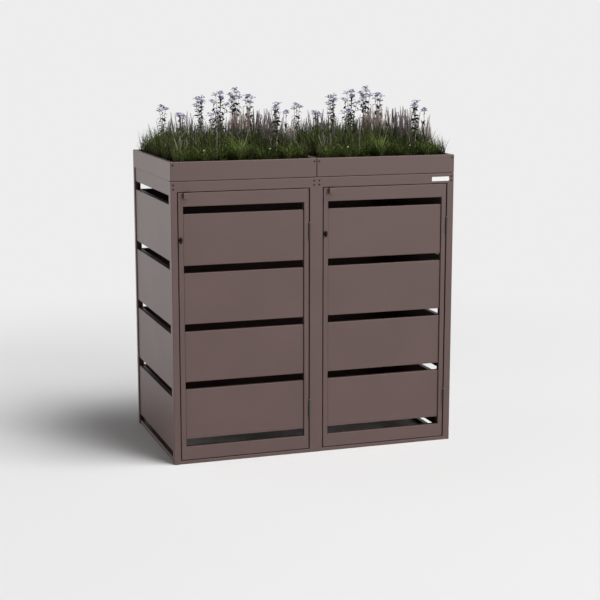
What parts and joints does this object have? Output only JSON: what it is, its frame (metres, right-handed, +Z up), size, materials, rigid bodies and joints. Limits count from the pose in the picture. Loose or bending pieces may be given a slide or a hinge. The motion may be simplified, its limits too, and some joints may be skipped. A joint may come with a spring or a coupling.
{
  "type": "wheelie bin store",
  "caption": "Free-standing slatted metal store for wheelie bins, side by side, each bay with a hinged door with a finger pull and a turn latch, under a planter with grass and flowers.",
  "frame": {"origin": "on the ground at the middle of the store's width and depth, counting the pulls on the doors", "axes": "+Z up, +X to the right seen from the front, +Y towards the back; the doors face -Y"},
  "size_m": [1.46, 0.852, 1.8],
  "materials": {
    "powder_coat": "satin",
    "latch_black": "satin",
    "hinge_steel": "satin",
    "pin_steel": "satin",
    "soil": "matte",
    "grass": "matte",
    "flowers": "matte"
  },
  "bodies": {
    "store": {"front_sill": "powder_coat", "front_head": "powder_coat", "front_post_left": "powder_coat", "front_post_centre": "powder_coat", "front_post_right": "powder_coat", "back_sill": "powder_coat", "back_slat_1": "powder_coat", "back_slat_2": "powder_coat", "back_slat_3": "powder_coat", "back_slat_4": "powder_coat", "back_head": "powder_coat", "back_strap": "powder_coat", "roof_beam": "powder_coat", "hinge_pins": "pin_steel", "side_post_left": "powder_coat", "back_post_left": "powder_coat", "side_sill_left": "powder_coat", "side_slat_1_left": "powder_coat", "side_slat_2_left": "powder_coat", "side_slat_3_left": "powder_coat", "side_slat_4_left": "powder_coat", "side_head_left": "powder_coat", "planter_left": "powder_coat", "soil_left": "soil", "grass_left": "grass", "flowers_left": "flowers", "hinge_frame_halves_left": "hinge_steel", "side_post_right": "powder_coat", "back_post_right": "powder_coat", "side_sill_right": "powder_coat", "side_slat_1_right": "powder_coat", "side_slat_2_right": "powder_coat", "side_slat_3_right": "powder_coat", "side_slat_4_right": "powder_coat", "side_head_right": "powder_coat", "planter_right": "powder_coat", "soil_right": "soil", "grass_right": "grass", "flowers_right": "flowers", "hinge_frame_halves_right": "hinge_steel"},
    "door_left": {"door_frame_left": "powder_coat", "door_slat_1_left": "powder_coat", "door_slat_2_left": "powder_coat", "door_slat_3_left": "powder_coat", "door_slat_4_left": "powder_coat", "pull_left": "powder_coat", "latch_collar_left": "latch_black", "hinge_door_halves_left": "hinge_steel"},
    "door_right": {"door_frame_right": "powder_coat", "door_slat_1_right": "powder_coat", "door_slat_2_right": "powder_coat", "door_slat_3_right": "powder_coat", "door_slat_4_right": "powder_coat", "pull_right": "powder_coat", "latch_collar_right": "latch_black", "hinge_door_halves_right": "hinge_steel"},
    "latch_left": {"latch_knob_left": "latch_black", "latch_cam_left": "pin_steel"},
    "latch_right": {"latch_knob_right": "latch_black", "latch_cam_right": "pin_steel"}
  },
  "joints": [
    {"name": "door_left_hinge", "type": "hinge", "parent": "store", "child": "door_left", "pos_m": [-0.03825, -0.407, 0], "axis": [0, 0, 1], "range_deg": [0, 110]},
    {"name": "latch_left_turn", "type": "hinge", "parent": "door_left", "child": "latch_left", "pos_m": [-0.684, -0.404, 1.104], "axis": [0, 1, 0], "range_deg": [0, 90]},
    {"name": "door_right_hinge", "type": "hinge", "parent": "store", "child": "door_right", "pos_m": [0.69175, -0.407, 0], "axis": [0, 0, 1], "range_deg": [0, 110]},
    {"name": "latch_right_turn", "type": "hinge", "parent": "door_right", "child": "latch_right", "pos_m": [0.046, -0.404, 1.104], "axis": [0, 1, 0], "range_deg": [0, 90]}
  ]
}
